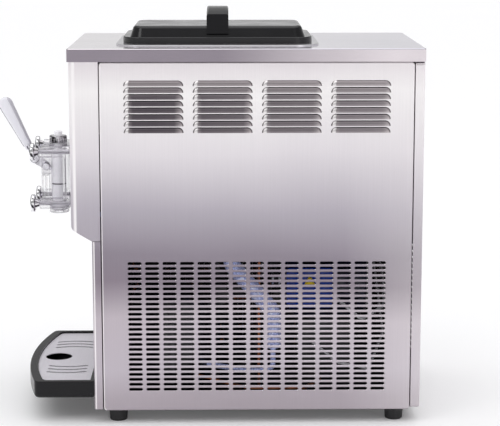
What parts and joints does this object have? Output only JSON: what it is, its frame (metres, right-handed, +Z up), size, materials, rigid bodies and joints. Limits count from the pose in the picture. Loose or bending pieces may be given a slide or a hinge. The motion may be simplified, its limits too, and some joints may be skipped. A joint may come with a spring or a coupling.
{
  "type": "ice cream maker",
  "caption": "Countertop soft-serve ice cream maker with a stainless cabinet, lidded hopper, clear dispensing head with pull lever, and a removable drip tray.",
  "frame": {"origin": "centre of the bounding box's footprint, on the plane that the feet stand on", "axes": "+Z up, -Y towards the person served (the dispensing side), +X right as that person sees it"},
  "size_m": [0.4062, 0.8196, 0.772],
  "materials": {
    "stainless_brushed": "brushed stainless sheet",
    "stainless_cover": "polished stainless sheet",
    "stainless_plate": "satin stainless sheet",
    "stainless_tub": "satin stainless",
    "chrome_nut": "polished",
    "lever_metal": "polished stainless",
    "lid_black": "gloss moulded",
    "tray_black": "semi-gloss moulded",
    "clear_head": "clear moulded",
    "white_plastic": "smooth",
    "grip_white": "smooth moulded",
    "rubber_black": "matte",
    "galvanised": "dark coated sheet",
    "deck_metal": "mill",
    "foam": "foam",
    "motor_blue": "gloss enamel",
    "compressor_black": "semi-gloss enamel",
    "fin_aluminium": "bare",
    "copper": "drawn copper tube",
    "foil": "foil wrap",
    "gear_steel": "ground",
    "cast_grey": "painted casting",
    "belt_rubber": "matte",
    "fan_plastic": "moulded",
    "bezel": "gloss",
    "display": "gloss",
    "button": "smooth",
    "wire": "insulated wire",
    "gland": "moulded",
    "screw_steel": "bright"
  },
  "bodies": {
    "root": {"base_pan": "galvanised", "frame": "galvanised", "mid_deck": "deck_metal", "rubber_feet": "rubber_black", "right_side_panel": "stainless_brushed", "left_side_panel": "stainless_brushed", "rear_panel": "stainless_brushed", "front_upper_panel": "stainless_brushed", "front_lower_panel": "stainless_brushed", "top_cover": "stainless_cover", "hopper": "stainless_tub", "freezing_barrel": "stainless_tub", "barrel_insulation": "foam", "head_studs": "chrome_nut", "gearbox_housing": "cast_grey", "gearbox_cover": "cast_grey", "motor_housing": "motor_blue", "motor_terminal_box": "motor_blue", "motor_stand": "galvanised", "compressor_shell": "compressor_black", "condenser_fins": "fin_aluminium", "condenser_tubes": "copper", "fan_shroud": "galvanised", "fan_motor": "galvanised", "suction_line": "foil", "copper_lines": "copper", "filter_drier": "copper", "electrical_box": "galvanised", "wiring_harness": "wire", "control_bezel": "bezel", "display_window": "display", "panel_screws": "screw_steel", "cable_gland": "gland", "drive_belt": "belt_rubber"},
    "lid": {"hopper_lid": "lid_black"},
    "feed": {"feed_tube": "white_plastic"},
    "head": {"head_body": "clear_head", "head_seal": "rubber_black", "pivot_pin": "lever_metal", "neck_nut": "chrome_nut"},
    "valve_piston": {"piston": "white_plastic", "piston_seals": "rubber_black"},
    "lever": {"lever_arm": "lever_metal", "lever_grip": "grip_white"},
    "nut_1": {"thumb_nut_1": "chrome_nut"},
    "nut_2": {"thumb_nut_2": "chrome_nut"},
    "nut_3": {"thumb_nut_3": "chrome_nut"},
    "nut_4": {"thumb_nut_4": "chrome_nut"},
    "spout": {"spout_cap": "clear_head"},
    "dasher": {"beater": "stainless_tub", "output_gear": "gear_steel"},
    "pinion": {"pinion_shaft": "gear_steel", "driven_pulley": "cast_grey"},
    "motor_rotor": {"motor_pulley": "gear_steel"},
    "fan": {"fan_blade": "fan_plastic"},
    "tray": {"drip_tray": "tray_black"},
    "plate": {"drip_plate": "stainless_plate"},
    "key_1": {"push_button_1": "button"},
    "key_2": {"push_button_2": "button"},
    "key_3": {"push_button_3": "button"}
  },
  "joints": [
    {"name": "lid_lift", "type": "slide", "parent": "root", "child": "lid", "axis": [0, 0, 1], "range_m": [0, 0.25]},
    {"name": "feed_tube_turn", "type": "hinge", "parent": "root", "child": "feed", "pos_m": [0, -0.0082, 0.6], "axis": [0, 0, 1], "range_deg": [0, 180]},
    {"name": "head_pull_off", "type": "slide", "parent": "root", "child": "head", "axis": [0, -1, 0], "range_m": [0, 0.09]},
    {"name": "lever_pull", "type": "hinge", "parent": "head", "child": "lever", "pos_m": [0, -0.3192, 0.4618], "axis": [1, 0, 0], "range_deg": [0, 54]},
    {"name": "piston_slide", "type": "slide", "parent": "head", "child": "valve_piston", "axis": [0, 0, 1], "range_m": [0, 0.0205]},
    {"name": "thumb_nut_1_turn", "type": "hinge", "parent": "head", "child": "nut_1", "pos_m": [-0.05, -0.3372, 0.396], "axis": [0, 1, 0], "continuous": true},
    {"name": "thumb_nut_2_turn", "type": "hinge", "parent": "head", "child": "nut_2", "pos_m": [-0.05, -0.3372, 0.496], "axis": [0, 1, 0], "continuous": true},
    {"name": "thumb_nut_3_turn", "type": "hinge", "parent": "head", "child": "nut_3", "pos_m": [0.05, -0.3372, 0.396], "axis": [0, 1, 0], "continuous": true},
    {"name": "thumb_nut_4_turn", "type": "hinge", "parent": "head", "child": "nut_4", "pos_m": [0.05, -0.3372, 0.496], "axis": [0, 1, 0], "continuous": true},
    {"name": "spout_cap_off", "type": "slide", "parent": "head", "child": "spout", "axis": [0, 0, -1], "range_m": [0, 0.03]},
    {"name": "beater_spin", "type": "hinge", "parent": "root", "child": "dasher", "pos_m": [0, -0.1082, 0.446], "axis": [0, 1, 0], "continuous": true},
    {"name": "pinion_spin", "type": "hinge", "parent": "root", "child": "pinion", "pos_m": [0, 0.0918, 0.38975], "axis": [0, 1, 0], "continuous": true},
    {"name": "motor_spin", "type": "hinge", "parent": "root", "child": "motor_rotor", "pos_m": [0.06, 0.1278, 0.25], "axis": [0, 1, 0], "continuous": true},
    {"name": "fan_spin", "type": "hinge", "parent": "root", "child": "fan", "pos_m": [-0.118, 0.0138, 0.185], "axis": [1, 0, 0], "continuous": true},
    {"name": "tray_slide", "type": "slide", "parent": "root", "child": "tray", "axis": [0, -1, 0], "range_m": [0, 0.16]},
    {"name": "plate_lift", "type": "slide", "parent": "tray", "child": "plate", "axis": [0, 0, 1], "range_m": [0, 0.05]},
    {"name": "button_1_press", "type": "slide", "parent": "root", "child": "key_1", "axis": [0, 1, 0], "range_m": [0, 0.0015], "stiffness_N_per_m": 300, "springref_m": -0.001},
    {"name": "button_2_press", "type": "slide", "parent": "root", "child": "key_2", "axis": [0, 1, 0], "range_m": [0, 0.0015], "stiffness_N_per_m": 300, "springref_m": -0.001},
    {"name": "button_3_press", "type": "slide", "parent": "root", "child": "key_3", "axis": [0, 1, 0], "range_m": [0, 0.0015], "stiffness_N_per_m": 300, "springref_m": -0.001}
  ],
  "couplings": [
    {"joint": "piston_slide", "follows": "lever_pull", "m_per_rad": 0.021221},
    {"joint": "pinion_spin", "follows": "beater_spin", "ratio": -4},
    {"joint": "motor_spin", "follows": "beater_spin", "ratio": -12}
  ]
}
